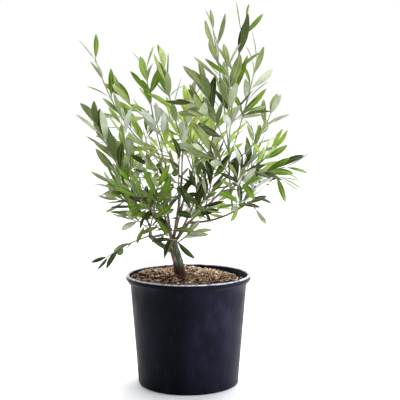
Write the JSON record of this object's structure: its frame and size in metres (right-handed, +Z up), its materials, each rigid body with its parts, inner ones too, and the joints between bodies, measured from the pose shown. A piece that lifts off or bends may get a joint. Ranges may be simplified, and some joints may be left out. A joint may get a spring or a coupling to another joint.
{
  "type": "potted olive tree",
  "caption": "Young olive with an open leafy crown on a leaning, forked trunk, growing in a round nursery pot with a rolled lip.",
  "frame": {"origin": "middle of the pot's flat underside", "axes": "+Z up along the pot's axis, +X to the right and +Y away as the plant is seen from the front"},
  "size_m": [0.3906, 0.2957, 0.6612],
  "materials": {
    "pot": "moulded black plastic, satin gloss",
    "soil": "coarse, matt, fibrous",
    "bark": "smooth young bark, grey-brown",
    "foliage": "leathery leaves, green above and grey-green below"
  },
  "bodies": {
    "root": {"pot": "pot", "soil": "soil", "trunk": "bark", "back_left_bough": "bark", "back_right_bough": "bark", "centre_left_bough": "bark", "centre_right_bough": "bark", "leader": "bark", "left_bough": "bark", "left_high": "bark", "left_riser": "bark", "right_bough": "bark", "right_high_bough": "bark", "right_low_bough": "bark", "right_riser": "bark", "back_centre_foliage": "foliage", "back_far_left_foliage": "foliage", "back_left_foliage": "foliage", "back_low_left_foliage": "foliage", "back_low_right_foliage": "foliage", "back_right_foliage": "foliage", "back_tall_foliage": "foliage", "centre_low_foliage": "foliage", "centre_up_foliage": "foliage", "far_right_foliage": "foliage", "fork_front_foliage": "foliage", "fork_right_foliage": "foliage", "front_arch_foliage": "foliage", "front_centre_foliage": "foliage", "front_left_foliage": "foliage", "front_right_foliage": "foliage", "leader_top_foliage": "foliage", "left_back_foliage": "foliage", "left_inner_foliage": "foliage", "left_low_foliage": "foliage", "left_whip_foliage": "foliage", "low_left_foliage": "foliage", "lower_left_foliage": "foliage", "mid_front_foliage": "foliage", "mid_left_foliage": "foliage", "mid_left_inner_foliage": "foliage", "right_centre_foliage": "foliage", "right_inner_foliage": "foliage", "right_low_foliage": "foliage", "right_mid_foliage": "foliage", "right_middle_foliage": "foliage", "right_under_foliage": "foliage", "right_upper_foliage": "foliage", "top_far_right_foliage": "foliage", "top_left_foliage": "foliage", "top_mid_foliage": "foliage", "top_right_foliage": "foliage", "upper_left_foliage": "foliage", "upper_mid_left_foliage": "foliage"}
  },
  "joints": []
}
